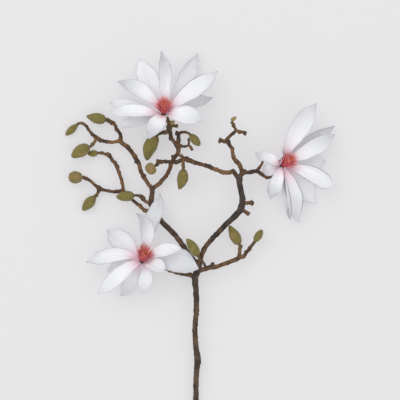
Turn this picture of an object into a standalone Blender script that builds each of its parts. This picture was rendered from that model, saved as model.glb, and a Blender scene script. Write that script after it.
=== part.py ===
"""Magnolia branch: a cut branch in flower, lying on a flat surface.

Lengths are written in millimetres, in a frame whose origin is the main fork: X runs across
the branch, Y from the cut end towards the top flower, Z up from the surface.  Each piece is
scaled to metres when it is made, and the finished branch is moved so that its box stands
centred on the world's origin.
"""

import math
from typing import NamedTuple

import bmesh
import bpy
from mathutils import Matrix, Quaternion, Vector

MM = 0.001

# ---------------------------------------------------------------- driving dimensions
LIMB_SIDES = 8            # facets round a limb
TWIG_SIDES = 6            # facets round a twig
TWIG_MAX_DIAMETER = 4.4   # a route that stays under this is a twig
RING_SPACING = 7.0        # longest stretch of wood between two rings
FIT_GAP = 0.45            # clearance between a bud or flower piece and the wood it sits on

BUD_SIDES = 8
BUD_RINGS = 7
BUD_FOOT = 1.25           # radius of the foot of a bud
BUD_TIP = 0.25            # radius of its blunt tip
BUD_BOW = 0.04            # how far a bud bows upwards, as a share of its length
BUD_SEAT = 1.4            # length of the last step of a stalk, which points at the bud's tip

RECEPTACLE_RADIUS = 2.5   # the end of a flower stalk, which carries the tepals
RECEPTACLE_TOP_RADIUS = 2.2
RECEPTACLE_HEIGHT = 5.0
RECEPTACLE_FOOT = -0.6    # where it has its full radius, along the flower's axis
RECEPTACLE_SHOULDER = 1.8 # and up to where it keeps that radius
RECEPTACLE_NECK = -2.6    # where the stalk begins to widen into it
NECK_DIAMETER = 3.8
OUTER_WHORL_HEIGHT = 0.7  # where the tepals of each whorl leave the receptacle
INNER_WHORL_HEIGHT = 3.2
WHORL_RADIUS = 3.5
FOOT_SPREAD = 0.5         # 0 spreads the feet of the tepals evenly, 1 puts each under its tip

TEPAL_THICKNESS = 0.95
TEPAL_THINNING = 0.3      # share of the thickness lost by the tip
TEPAL_CLAW = 2.3          # width of a tepal where it leaves the receptacle
TEPAL_STATIONS = (0.0, 0.1, 0.24, 0.4, 0.56, 0.72, 0.86, 0.95, 1.0)
TEPAL_SHOULDER = 1.2      # over 1 keeps the lower part of a tepal slender
TEPAL_WIDEST = 0.62       # where along its length a tepal is widest
TEPAL_BLUNTNESS = 1.6     # 2 is an elliptical tip, less is more pointed
TEPAL_TIP = 0.12          # width of the very tip, as a share of the greatest width
TEPAL_CUP = 0.34          # how far the edges of a blade turn up, as a share of its half width
CUP_START = 0.25          # the foot is cupped as the place this far along a sine wave
SPINE_REACH = 0.34        # how far along a spine its two control points lie

PISTIL_HEIGHT = 14.0
PISTIL_RADIUS = 2.4
PISTIL_SIDES = 8
# Height and radius of the pistil's rings, as shares of its height and greatest radius.
PISTIL_PROFILE = ((0.0, 0.7), (0.15, 1.0), (0.4, 0.95), (0.65, 0.75), (0.87, 0.45), (1.0, 0.15))

STAMEN_HEIGHT = 12.0
STAMEN_WAIST = 0.4        # height of the waist of the funnel, as a share of the whole height
STAMEN_FLARE = 7.2        # inner radius of the funnel at its top
STAMEN_RIM = 1.6          # thickness of its wall at the top,
STAMEN_WALL = 1.9         # at its waist
STAMEN_FOOT = 0.9         # and at its foot
STAMEN_FLUTES = 12
STAMEN_FLUTE_DEPTH = 0.14 # depth of the flutes on the outside, as a share of the radius

# ---------------------------------------------------------------- the wood
# Each route is a list of (x, y, z, diameter).  A side route starts inside its parent.
MAIN_STEM = [
    (-1.5, -179, 3.2, 5.7), (-2.5, -156, 4.2, 5.3), (-2, -131, 5.6, 5.0), (-2, -111, 7.0, 5.2),
    (-1, -97, 8.2, 5.8), (-0.3, -91, 8.6, 6.8), (-1.2, -84, 9.0, 5.6), (-2.5, -76, 9.6, 5.0),
    (-3, -56, 10.8, 5.0), (-1.5, -41, 11.8, 5.1), (-2, -21, 12.8, 5.5), (-3, -8, 13.6, 6.6),
    (0.5, 0, 14.0, 6.4), (1.5, 5, 14.3, 4.7), (3.7, 14.3, 14.8, 3.9), (6, 20.3, 15.0, 4.5),
    (10, 25.7, 15.2, 4.5), (15.3, 31.7, 15.5, 4.8), (20.7, 37, 15.8, 4.8), (26, 43, 16.0, 5.2),
    (31.3, 47.7, 16.2, 5.3), (36.7, 53, 16.5, 6.2), (41.3, 57.7, 16.8, 6.2), (43.5, 63, 17.0, 6.7),
    (44.3, 67, 17.0, 6.4), (44, 72.3, 17.0, 5.6), (42.7, 79, 17.2, 5.5), (41.3, 85.7, 17.5, 5.6),
    (41, 90, 17.8, 6.3), (40.3, 94, 18.0, 4.8),
]
LEFT_LIMB = [
    (0.5, -1.5, 13.8, 5.0), (-1, 6, 13.6, 5.0), (-5.2, 10, 13.3, 5.0), (-10, 15, 13.0, 5.0),
    (-13.6, 21.6, 12.6, 5.0), (-17.8, 27.5, 12.3, 4.8), (-22, 33, 12.0, 5.0), (-28, 39.5, 11.5, 5.0),
    (-34.6, 45.6, 11.0, 5.0), (-40.3, 52.8, 10.6, 5.0), (-44, 59, 10.3, 5.3), (-47, 65, 10.0, 5.8),
    (-46.6, 69, 10.0, 5.2), (-45.7, 76.2, 10.0, 4.8), (-45.5, 81, 10.0, 5.4), (-46, 83, 10.0, 4.2),
]
UPPER_LEFT_ARM = [
    (-45.5, 80.5, 10.0, 4.3), (-49.5, 84.5, 10.0, 3.5), (-51.4, 88, 10.0, 3.3), (-53.8, 92, 10.0, 3.3),
    (-56.2, 96, 10.0, 3.3), (-58, 101, 10.0, 3.3), (-59.4, 106, 10.0, 3.5), (-62.6, 111.2, 10.0, 4.2),
    (-65, 115.2, 10.0, 3.6), (-67.4, 118.4, 10.0, 3.8), (-69.8, 121.6, 10.0, 4.4),
    (-73.4, 123.7, 10.0, 3.6), (-77, 127, 10.0, 4.2), (-77.6, 129, 10.0, 3.0),
]
TOP_LEFT_TWIG = [
    (-77, 127, 10.0, 3.6), (-76.8, 131.1, 10.2, 3.3), (-77.5, 134.4, 10.3, 3.1),
    (-79.4, 137.7, 10.4, 3.2), (-81.8, 139.7, 10.4, 3.5), (-81.8, 142.3, 10.3, 3.0),
    (-83.4, 144.7, 10.2, 3.0), (-86.4, 147, 10.0, 3.0), (-90.1, 148.5, 9.6, 3.0),
]
FAR_LEFT_TWIG = [
    (-77, 127, 10.0, 3.4), (-80.8, 127.4, 9.8, 3.2), (-85, 126.5, 9.5, 3.0), (-89.7, 127, 9.2, 3.0),
    (-94.3, 127.6, 9.0, 3.1), (-98.5, 129.3, 8.7, 3.3), (-101.3, 131.1, 8.4, 4.3),
    (-104.1, 133.5, 8.2, 3.2), (-106.5, 135.8, 7.8, 2.8), (-108.8, 138.6, 7.4, 2.6),
    (-111.1, 142.3, 7.0, 2.6), (-113.9, 144.9, 6.4, 2.6), (-116.7, 146, 5.8, 2.6),
    (-119.5, 145.4, 5.2, 2.7),
]
DROOPING_BUD_STALK = [(-101.3, 130.4, 8.5, 3.0), (-104.1, 125.4, 8.9, 2.4), (-106.6, 122.9, 9.5, 2.4)]
FLOWER_ARM = [
    (-45.5, 80.5, 10.0, 4.3), (-40, 84, 10.3, 3.7), (-36, 88, 10.5, 3.6), (-33, 92, 10.8, 3.6),
    (-30, 96, 11.0, 3.6), (-27.6, 101.5, 11.3, 3.6), (-26, 107, 11.7, 3.7), (-23.5, 111.5, 12.2, 3.8),
    (-20.3, 114.8, 12.6, 4.2), (-19.5, 118, 13.0, 4.3), (-19.6, 122, 13.3, 4.2),
    (-20, 127, 13.6, 3.7), (-19.2, 132, 13.9, 3.4), (-19.6, 135.3, 14.2, 3.8),
    (-22.4, 135.6, 14.0, 3.2),
]
TOP_FLOWER_STALK = [
    (-20, 121, 13.2, 3.6), (-23.6, 126.5, 13.4, 3.2), (-26.6, 131, 13.8, 3.2),
    (-28, 136.5, 14.4, 4.0), (-29, 141.5, 15.0, 6.0), (-28.4, 145.5, 15.3, 4.2),
    (-31, 149.4, 15.8, 3.5),
]
STALK_OF_BUD_07 = [
    (-28.3, 139, 14.6, 3.2), (-32.7, 136.6, 14.0, 3.0), (-37, 135.6, 13.3, 2.8), (-40.2, 134.6, 12.8, 2.9),
]
STUB_BY_TOP_FLOWER = [(-28, 142.5, 15.4, 3.2), (-24, 143, 16.0, 2.6), (-20, 142.7, 16.4, 3.6)]
STALK_OF_BUD_10 = [
    (-19.6, 134.8, 14.1, 3.4), (-16, 136.7, 14.8, 2.6), (-12.5, 136.5, 15.2, 2.3), (-8.8, 135.2, 15.6, 2.4),
]
LOWER_TWIGLET = [
    (-19.6, 123.5, 13.4, 3.0), (-15, 122.5, 13.8, 2.2), (-12, 122.5, 13.9, 2.1), (-9.5, 123.4, 14.0, 2.3),
    (-9.0, 127, 13.0, 2.0), (-9.6, 130.5, 12.2, 2.0),
]
CUT_TWIGLET = [(-10, 123.3, 14.0, 2.1), (-7.5, 122.3, 14.4, 2.0), (-5.5, 118.5, 14.8, 2.6)]
STALK_OF_BUD_06 = [
    (-47, 65, 10.6, 3.4), (-52.6, 67.8, 12.0, 2.8), (-55.9, 71.6, 13.4, 3.2), (-59, 73.3, 14.4, 2.4),
    (-62.0, 73.7, 15.0, 2.4),
]
LOWER_LEFT_TWIG = [
    (-43.2, 56, 10.2, 4.0), (-49, 57.8, 9.4, 3.6), (-53.2, 58.4, 8.8, 4.0), (-56.2, 61.2, 8.4, 3.1),
    (-61, 65.4, 8.0, 2.9), (-66.4, 69.8, 7.6, 2.8), (-71, 75, 7.2, 2.9), (-74.4, 78, 7.0, 3.5),
    (-80.3, 77.2, 6.8, 2.9), (-85, 77.3, 6.6, 2.8), (-89.7, 78, 6.4, 2.8), (-94.3, 79.1, 6.2, 2.8),
    (-98.5, 80.6, 6.2, 3.5), (-102.3, 83.4, 6.2, 2.8), (-105.1, 86.1, 6.2, 2.7),
    (-107.9, 88.5, 6.4, 2.8), (-111.6, 90.6, 6.6, 2.6), (-114.4, 91.4, 6.9, 2.8),
]
STALK_OF_BUD_05 = [(-98.2, 80.4, 6.2, 3.0), (-99.5, 76.6, 6.0, 2.4), (-101.8, 73.8, 5.6, 2.4)]
INNER_LEFT_TWIG = [
    (-74.4, 78, 7.0, 3.3), (-75.0, 83, 7.0, 3.0), (-75.9, 87.5, 7.1, 3.0), (-77.9, 93.5, 7.2, 3.0),
    (-79.7, 98.7, 7.3, 3.0), (-81.2, 103, 7.3, 3.1), (-84.0, 107, 7.2, 3.0), (-87.1, 111.5, 7.1, 3.1),
    (-88.4, 114.2, 7.0, 3.7), (-91.5, 114.4, 6.7, 2.7), (-95, 115.5, 6.4, 2.6), (-98.6, 116.1, 6.1, 2.6),
]
CROSSING_ARM = [
    (41, 90, 17.8, 4.8), (38, 93.6, 18.4, 4.4), (34.8, 98.2, 19.0, 4.6), (30.5, 96.2, 19.4, 3.7),
    (25.4, 96.8, 19.8, 3.4), (20.7, 98.2, 20.2, 3.3), (15.6, 100.1, 20.6, 3.4), (11, 102.2, 21.0, 4.0),
    (5, 104, 21.3, 3.3), (0, 105.4, 21.5, 3.9), (-5, 107, 21.8, 4.2), (-10, 109, 22.0, 4.4),
    (-14, 110.6, 22.0, 4.2), (-17, 108.2, 22.2, 3.6), (-20, 106.7, 22.4, 3.2), (-24, 107, 22.8, 3.2),
    (-30, 107.1, 23.0, 3.1), (-36.5, 107.3, 22.8, 3.3),
]
FLARED_ARM_END = [(-35, 107.2, 22.9, 3.0), (-38.6, 107.4, 22.8, 3.6), (-41.5, 107.6, 22.8, 4.8)]
CROSSING_SPUR = [(-14, 110.4, 22.0, 3.4), (-15.8, 112.4, 22.0, 2.8), (-17.4, 114.2, 21.8, 2.4)]
STALK_OF_BUD_08 = [(-37, 107.3, 22.8, 2.8), (-39.5, 105.2, 21.6, 2.4), (-41.6, 103.4, 20.6, 2.4)]
STALK_OF_BUD_09 = [(-14.4, 109.8, 22.0, 3.2), (-14.7, 104.6, 21.6, 2.7), (-14.3, 101.6, 21.2, 2.9)]
UPRIGHT_TWIG = [
    (41, 91, 17.9, 4.3), (43.6, 96.3, 18.6, 4.1), (42.7, 101, 19.0, 3.9), (41.3, 104.7, 19.3, 3.8),
    (38, 107.5, 19.6, 3.8), (36.1, 110.3, 19.8, 3.7), (34.7, 114.1, 20.0, 3.6), (34.3, 117.8, 20.2, 3.2),
    (33.3, 120.6, 20.4, 2.9), (31.5, 123.4, 20.6, 3.4), (30.1, 126.2, 20.8, 4.3), (28.8, 129.8, 21.0, 4.0),
    (31, 131.8, 21.2, 3.0), (33.3, 134.1, 21.4, 2.8), (36.1, 136.5, 21.6, 2.8), (38, 138, 21.8, 3.3),
    (36.8, 140.2, 22.0, 2.6), (35.9, 142.6, 22.2, 2.4), (34.9, 145, 22.4, 2.4), (32.9, 146.6, 22.6, 3.3),
]
UPRIGHT_STUB = [(30, 127, 20.8, 3.2), (27.3, 127.2, 21.0, 3.0), (24, 128, 21.3, 3.5), (21, 129, 21.6, 5.4)]
FORKED_STUB = [
    (38, 138, 21.8, 2.8), (41.7, 137.2, 22.0, 2.6), (44.5, 136.5, 22.0, 2.8), (48, 135, 22.2, 4.2),
]
UPPER_LIMB_STUB = [
    (43.8, 66.2, 17.0, 3.6), (48.5, 66.3, 17.6, 2.9), (52, 66.4, 18.0, 3.6), (54.3, 66.5, 18.2, 5.6),
]
LOWER_LIMB_STUB = [
    (43.0, 59.5, 17.0, 3.4), (47, 57.3, 17.3, 3.2), (49.5, 55.6, 17.5, 4.2), (51, 54.6, 17.6, 3.0),
]
RIGHT_FLOWER_STALK = [
    (41, 92, 18.0, 4.3), (46.9, 96.6, 18.2, 3.6), (52, 96.4, 18.4, 3.3), (55.2, 97.6, 18.5, 3.4),
    (58.5, 97.9, 18.6, 4.3), (62.3, 95.6, 18.4, 3.1), (65.1, 93.1, 17.8, 2.8), (68.4, 91.2, 16.6, 2.8),
    (73, 92.4, 14.6, 3.0), (77.6, 96.2, 12.8, 3.2),
]
GREEN_TWIG = [
    (58.4, 98.1, 18.6, 3.2), (61.8, 102.2, 19.2, 2.6), (63.7, 105.2, 19.6, 2.2), (64.6, 107.4, 19.9, 1.4),
]
LOWER_RIGHT_TWIG = [
    (0.8, -0.8, 13.9, 5.0), (6.7, 0, 13.8, 4.3), (10, 1.5, 13.6, 4.3), (14.8, 2.2, 13.4, 5.2),
    (18.7, 2.5, 13.2, 4.1), (23.3, 4.3, 13.0, 3.9), (28.7, 6.3, 12.8, 3.9), (34, 8.3, 12.6, 4.0),
    (38.7, 9.9, 12.4, 4.7), (41.1, 12.4, 12.3, 3.8), (41.4, 15.9, 12.2, 3.2), (41.8, 20, 12.0, 3.0),
    (41.9, 23.2, 11.8, 3.2),
]
LOWER_RIGHT_SPUR = [(13.2, 2.2, 13.5, 3.0), (14.8, 6.4, 13.9, 2.3)]
STALK_OF_BUD_12 = [
    (39.0, 10, 12.4, 3.8), (45.3, 13, 12.2, 3.3), (48.7, 17, 12.0, 3.0), (52, 21.7, 11.8, 3.0),
    (55.6, 26.0, 11.6, 3.1),
]
STALK_OF_BUD_13 = [
    (8.0, 0.8, 14.4, 2.8), (7.0, 3.6, 17.6, 2.2), (5.2, 6.6, 19.6, 2.1), (2.8, 9.4, 20.4, 2.1),
    (0.9, 11.6, 20.6, 2.4),
]
LEFT_FLOWER_STALK = [
    (-2.4, -7, 13.4, 4.0), (-9, -5.8, 12.6, 3.4), (-17.8, -4.2, 11.5, 3.2), (-23.2, -2.8, 10.8, 3.1),
    (-28, -1, 10.3, 3.1), (-34, 1.2, 9.8, 3.1), (-41, 3.4, 9.4, 3.2), (-48, 4.6, 9.2, 3.4),
    (-53.4, 5.4, 10.2, 3.6),
]

# The wood that carries neither a bud nor a flower at its own end.
BARE_ROUTES = [
    UPPER_LEFT_ARM, FLOWER_ARM, STUB_BY_TOP_FLOWER, LOWER_TWIGLET, CUT_TWIGLET, CROSSING_ARM,
    FLARED_ARM_END, CROSSING_SPUR, UPRIGHT_TWIG, UPRIGHT_STUB, FORKED_STUB, UPPER_LIMB_STUB,
    LOWER_LIMB_STUB, GREEN_TWIG, LOWER_RIGHT_SPUR, LEFT_LIMB,
]

class Bud(NamedTuple):
    """A bud at the end of a twig."""

    stalk: list             # the route that it ends
    tip: tuple              # x, y, z
    width: float            # its greatest diameter
    fullness: float = 0.8   # under 1 makes its outline fuller than a sine wave
    belly: float = 0.86     # under 1 puts its widest place below its middle
    bend: float = 0.0       # how far it bulges to its right, seen from above


BUDS = {
    "bud_01": Bud(FAR_LEFT_TWIG, (-132.4, 133.7, 1.9), 6.2, belly=1.1),
    "bud_02": Bud(TOP_LEFT_TWIG, (-111.5, 152.7, 7.4), 10.0, belly=0.8),
    "bud_03": Bud(DROOPING_BUD_STALK, (-126.0, 111.6, 10.4), 11.4, fullness=0.62, bend=1.0),
    "bud_04": Bud(LOWER_LEFT_TWIG, (-129.2, 91.8, 12.0), 11.4, fullness=0.45, belly=1.05),
    "bud_05": Bud(STALK_OF_BUD_05, (-115.5, 58.5, 3.6), 9.4, fullness=0.75, belly=0.95),
    "bud_06": Bud(STALK_OF_BUD_06, (-81.6, 72.0, 15.6), 9.4, fullness=0.65),
    "bud_07": Bud(STALK_OF_BUD_07, (-51, 108.4, 9.4), 12.6, fullness=0.7, bend=2.4),
    "bud_08": Bud(STALK_OF_BUD_08, (-51.5, 97.4, 22.0), 11.4, fullness=0.45, belly=1.0),
    "bud_09": Bud(STALK_OF_BUD_09, (-19, 79.5, 18.0), 10.0, fullness=0.75, bend=-1.4),
    "bud_10": Bud(STALK_OF_BUD_10, (2.0, 123.3, 15.8), 7.4, fullness=0.6, belly=1.0),
    "bud_11": Bud(LOWER_RIGHT_TWIG, (31.0, 43.6, 12.4), 9.6, fullness=0.75, belly=0.8),
    "bud_12": Bud(STALK_OF_BUD_12, (64, 39.4, 11.4), 6.8, fullness=0.65, belly=1.05),
    "bud_13": Bud(STALK_OF_BUD_13, (-11.5, 30.5, 20.4), 9.0, fullness=0.7, bend=0.8),
    "bud_14": Bud(INNER_LEFT_TWIG, (-110, 115, 5.2), 5.6, fullness=0.6, belly=1.0),
}

# Small leaf buds that grow straight out of the bark, and where each one sits.
LEAF_BUDS = {
    "leaf_bud_1": ((33.6, 148.6, 22.8), Bud([], (38.4, 151.6, 23.6), 3.0)),
    "leaf_bud_2": ((-26.6, 145.4, 17.2), Bud([], (-23.2, 147.4, 19.6), 3.2)),
}

# ---------------------------------------------------------------- the flowers
class Tepal(NamedTuple):
    """One tepal of a flower, from its foot on the receptacle to its tip."""

    tip: tuple              # x, y, z
    width: float            # at its widest
    rise: float             # degrees between its foot and the flower's own plane
    curl: float = 0.0       # how far its end turns towards the flower's axis; below 0, away
    roll: float = 0.0       # degrees that the blade is twisted about its spine
    bend: tuple = (0, 0)    # how far the spine bulges to the right, low down and near the tip


# Each flower: its stalk, its centre, which way it faces, and its tepals in order round it,
# anticlockwise seen from the front.  The tepals belong to the outer and inner whorl by turns.
OUTER, INNER = 0, 1
FLOWERS = {
    "top_flower": {
        "stalk": TOP_FLOWER_STALK,
        "centre": (-34.6, 154.2, 17.5),
        "faces": (0.05, 0.50, 0.86),
        "first_whorl": INNER,
        "tepals": [
            Tepal((5.2, 149.0, 33.0), width=20.0, rise=55, curl=-0.1, roll=8),
            Tepal((14.5, 171.0, 12.0), width=15.0, rise=12, curl=0.1, bend=(-2, -2)),
            Tepal((19.0, 197.0, 24.0), width=19.0, rise=40, curl=0.1, bend=(0, 2)),
            Tepal((0.0, 215.4, 6.0), width=14.0, rise=10, roll=10, bend=(0, 2)),
            Tepal((-36.0, 217.2, 20.0), width=15.0, rise=42, roll=36, bend=(2, 3)),
            Tepal((-59.0, 210.0, 1.5), width=17.0, rise=10, curl=0.1),
            Tepal((-80.0, 187.0, 23.0), width=15.0, rise=42, curl=-0.2, bend=(2, 5)),
            Tepal((-88.0, 166.6, 8.0), width=14.0, rise=8, bend=(-1, 1)),
            Tepal((-88.0, 157.6, 25.0), width=13.0, rise=45, curl=-0.3, bend=(-2, -4)),
            Tepal((-78.0, 141.6, 21.0), width=14.0, rise=14, curl=-0.2, bend=(0, 2)),
            Tepal((-48.0, 133.0, 42.0), width=16.0, rise=60, curl=0.2),
        ],
    },
    "left_flower": {
        "stalk": LEFT_FLOWER_STALK,
        "centre": (-56.4, 8.0, 13.5),
        "faces": (0.17, 0.40, 0.90),
        "first_whorl": OUTER,
        "tepals": [
            Tepal((-57.0, -24.0, 20.0), width=15.0, rise=32, curl=-0.2, roll=10, bend=(-5, -4)),
            Tepal((-34.0, -1.0, 40.0), width=15.0, rise=60, curl=0.2),
            Tepal((0.5, 0.6, 23.0), width=24.0, rise=25, curl=-0.1, bend=(0, -2)),
            Tepal((-16.0, 20.6, 33.0), width=12.0, rise=55, curl=-0.1, bend=(-2, -2)),
            Tepal((-37.7, 76.0, 20.0), width=17.0, rise=20, curl=0.1, roll=-20, bend=(-7, 8)),
            Tepal((-58.0, 57.0, 32.0), width=18.0, rise=52, curl=-0.4, roll=20, bend=(2, 5)),
            Tepal((-90.5, 39.0, 4.0), width=19.0, rise=8, curl=0.1),
            Tepal((-111.0, 6.8, 22.0), width=13.5, rise=35, curl=-0.1, bend=(2, 4)),
            Tepal((-91.0, -2.4, 11.0), width=12.0, rise=10),
            Tepal((-99.8, -24.0, 27.0), width=14.0, rise=45, curl=-0.1, bend=(1, -2)),
            Tepal((-77.4, -26.8, 5.0), width=15.5, rise=6, curl=0.1, bend=(-1, -3)),
        ],
    },
    "right_flower": {
        "stalk": RIGHT_FLOWER_STALK,
        "centre": (83.4, 102.6, 15.5),
        "faces": (0.40, 0.32, 0.86),
        "first_whorl": OUTER,
        "tepals": [
            Tepal((127.0, 108.0, 6.0), width=23.0, rise=4, curl=0.1),
            Tepal((136.0, 134.6, 20.0), width=13.0, rise=40, curl=0.1, bend=(2, 3)),
            Tepal((136.0, 142.6, 6.0), width=12.0, rise=14, bend=(-1, 0)),
            Tepal((117.5, 165.0, 24.0), width=22.0, rise=38, bend=(-3, -3)),
            Tepal((85.0, 122.0, 40.5), width=9.2, rise=40, curl=0.4, roll=20, bend=(1.5, 0.5)),
            Tepal((57.0, 114.0, 22.0), width=14.0, rise=50, curl=-0.3, bend=(-4, 0)),
            Tepal((62.0, 97.0, 34.0), width=14.0, rise=12, curl=0.6, bend=(-1, -1)),
            Tepal((72.0, 69.8, 22.0), width=16.0, rise=34, bend=(1, 1)),
            Tepal((91.0, 49.6, 1.6), width=14.0, rise=6),
            Tepal((99.8, 46.4, 12.0), width=19.0, rise=20, curl=-0.1, bend=(2, 6)),
            Tepal((118.5, 66.0, 2.2), width=18.0, rise=6, curl=0.1),
            Tepal((136.0, 81.0, 20.0), width=15.0, rise=36, bend=(-2, -1)),
        ],
    },
}

# ---------------------------------------------------------------- materials
# Name: base colour (linear RGB) and roughness.
MATERIALS = {
    "bark": ((0.09, 0.055, 0.035), 0.85),
    "bud_down": ((0.22, 0.21, 0.08), 0.95),
    "tepal": ((0.86, 0.83, 0.84), 0.6),
    "pistil": ((0.75, 0.32, 0.12), 0.6),
    "stamens": ((0.62, 0.06, 0.10), 0.6),
}


def make_material(name):
    colour, roughness = MATERIALS[name]
    material = bpy.data.materials.new(name)
    material.use_nodes = True
    shader = material.node_tree.nodes["Principled BSDF"]
    shader.inputs["Base Color"].default_value = (*colour, 1.0)
    shader.inputs["Roughness"].default_value = roughness
    return material


def make_object(name, mesh_data, material):
    """A scene object from bmesh data given in millimetres, with its faces pointing out."""
    bmesh.ops.recalc_face_normals(mesh_data, faces=mesh_data.faces)
    mesh_data.transform(Matrix.Scale(MM, 4))
    mesh = bpy.data.meshes.new(name)
    mesh_data.to_mesh(mesh)
    mesh_data.free()
    mesh.materials.append(material)
    mesh.shade_smooth()
    placed = bpy.data.objects.new(name, mesh)
    bpy.context.scene.collection.objects.link(placed)
    return placed


# ---------------------------------------------------------------- shared shapes
def skin_rings(rings):
    """A closed bmesh over rings of points, which all have the same number of points."""
    shape = bmesh.new()
    loops = [[shape.verts.new(point) for point in ring] for ring in rings]
    count = len(loops[0])
    for lower, upper in zip(loops, loops[1:]):
        for i in range(count):
            j = (i + 1) % count
            shape.faces.new((lower[i], lower[j], upper[j], upper[i]))
    shape.faces.new(loops[0][::-1])
    shape.faces.new(loops[-1])
    return shape


def upright_frame(direction):
    """Two unit vectors square to a direction and to each other."""
    helper = Vector((0, 0, 1)) if abs(direction.z) < 0.9 else Vector((1, 0, 0))
    side = direction.cross(helper).normalized()
    return side, direction.cross(side).normalized()


def circle(centre, side, up, radius, count, ripple=0.0):
    """Points round a circle; ripple pulls every second one in."""
    points = []
    for i in range(count):
        angle = math.tau * i / count
        reach = radius * (1.0 - ripple * (i % 2))
        points.append(centre + side * reach * math.cos(angle) + up * reach * math.sin(angle))
    return points


# ---------------------------------------------------------------- wood
def smooth_route(route):
    """The route's own points, with Catmull-Rom points between any that lie far apart."""
    knots = [Vector(knot) for knot in route]
    smooth = [knots[0]]
    for i in range(len(knots) - 1):
        before = knots[max(i - 1, 0)]
        start, end = knots[i], knots[i + 1]
        after = knots[min(i + 2, len(knots) - 1)]
        steps = max(1, math.ceil((end - start).length / RING_SPACING))
        for step in range(1, steps + 1):
            t = step / steps
            tangent_in = (end - before) * 0.5
            tangent_out = (after - start) * 0.5
            smooth.append(
                start * (2 * t**3 - 3 * t**2 + 1)
                + tangent_in * (t**3 - 2 * t**2 + t)
                + end * (3 * t**2 - 2 * t**3)
                + tangent_out * (t**3 - t**2)
            )
    return smooth


def wood_tube(route):
    """One closed tapered tube along a route."""
    stations = smooth_route(route)
    centres = [station.to_3d() for station in stations]
    widest = max(station[3] for station in stations)
    sides = TWIG_SIDES if widest < TWIG_MAX_DIAMETER else LIMB_SIDES
    last = len(centres) - 1
    side = None
    rings = []
    for i, centre in enumerate(centres):
        direction = (centres[min(i + 1, last)] - centres[max(i - 1, 0)]).normalized()
        if side is None:
            side, up = upright_frame(direction)
        else:
            side = (side - direction * side.dot(direction)).normalized()
            up = direction.cross(side)
        rings.append(circle(centre, side, up, stations[i][3] / 2, sides))
    return skin_rings(rings)


def stalk_with_seat(route, tip):
    """The route with a last short step that points at the tip, so that a bud can sit on it."""
    end = Vector(route[-1][:3])
    step = (Vector(tip) - end).normalized() * BUD_SEAT
    return route + [(*(end + step), 2 * BUD_FOOT)]


def stalk_with_receptacle(flower):
    """The stalk of a flower, widened at its end into the receptacle."""
    centre = Vector(flower["centre"])
    axis = Vector(flower["faces"]).normalized()
    return flower["stalk"] + [
        (*(centre + axis * RECEPTACLE_NECK), NECK_DIAMETER),
        (*(centre + axis * RECEPTACLE_FOOT), 2 * RECEPTACLE_RADIUS),
        (*(centre + axis * RECEPTACLE_SHOULDER), 2 * RECEPTACLE_RADIUS),
        (*(centre + axis * RECEPTACLE_HEIGHT), 2 * RECEPTACLE_TOP_RADIUS),
    ]


def make_wood(material):
    """The whole of the wood as one solid: every side route is united with the main stem."""
    side_routes = list(BARE_ROUTES)
    side_routes += [stalk_with_seat(bud.stalk, bud.tip) for bud in BUDS.values()]
    side_routes += [stalk_with_receptacle(flower) for flower in FLOWERS.values()]
    branches = bpy.data.collections.new("side_branches")
    bpy.context.scene.collection.children.link(branches)
    for number, route in enumerate(side_routes):
        branch = make_object(f"side_branch_{number:02d}", wood_tube(route), material)
        bpy.context.scene.collection.objects.unlink(branch)
        branches.objects.link(branch)
        branch.hide_render = True
        branch.display_type = "WIRE"
    wood = make_object("branch_wood", wood_tube(MAIN_STEM), material)
    union = wood.modifiers.new("side branches", "BOOLEAN")
    union.operation = "UNION"
    union.solver = "EXACT"
    union.operand_type = "COLLECTION"
    union.collection = branches
    return wood


# ---------------------------------------------------------------- buds
def bud_shape(foot, bud):
    """A bud that bows slightly upwards, with its rings closest near its two ends."""
    axis = Vector(bud.tip) - foot
    side, up = upright_frame(axis.normalized())
    right = axis.cross(Vector((0, 0, 1))).normalized()
    bulge = Vector((0, 0, BUD_BOW * axis.length)) + right * bud.bend
    rings = []
    for i in range(BUD_RINGS + 1):
        u = (1 - math.cos(math.pi * i / BUD_RINGS)) / 2
        swell = math.sin(math.pi * u**bud.belly) ** bud.fullness if 0 < i < BUD_RINGS else 0.0
        radius = BUD_FOOT * (1 - u) ** 2 + bud.width / 2 * swell + BUD_TIP * u
        centre = foot + axis * u + bulge * math.sin(math.pi * u)
        rings.append(circle(centre, side, up, radius, BUD_SIDES))
    return skin_rings(rings)


def make_buds(material):
    for name, bud in BUDS.items():
        seat = Vector(stalk_with_seat(bud.stalk, bud.tip)[-1][:3])
        foot = seat + (Vector(bud.tip) - seat).normalized() * FIT_GAP
        make_object(name, bud_shape(foot, bud), material)
    for name, (foot, bud) in LEAF_BUDS.items():
        make_object(name, bud_shape(Vector(foot), bud), material)


# ---------------------------------------------------------------- flowers
def tepal_width(u, width):
    """A narrow claw that widens to its greatest width and ends in a rounded tip."""
    opening = min(u / TEPAL_WIDEST, 1.0)
    body = TEPAL_CLAW + (width - TEPAL_CLAW) * math.sin(math.pi / 2 * opening) ** TEPAL_SHOULDER
    past = max(0.0, (u - TEPAL_WIDEST) / (1.0 - TEPAL_WIDEST))
    return max(body * (1.0 - past**TEPAL_BLUNTNESS) ** (1 / TEPAL_BLUNTNESS), TEPAL_TIP * width)


def bezier(p0, p1, p2, p3, t):
    """Point and direction on a cubic curve."""
    s = 1 - t
    point = p0 * s**3 + p1 * (3 * s * s * t) + p2 * (3 * s * t * t) + p3 * t**3
    slope = (p1 - p0) * (s * s) + (p2 - p1) * (2 * s * t) + (p3 - p2) * (t * t)
    return point, slope.normalized()


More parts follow.
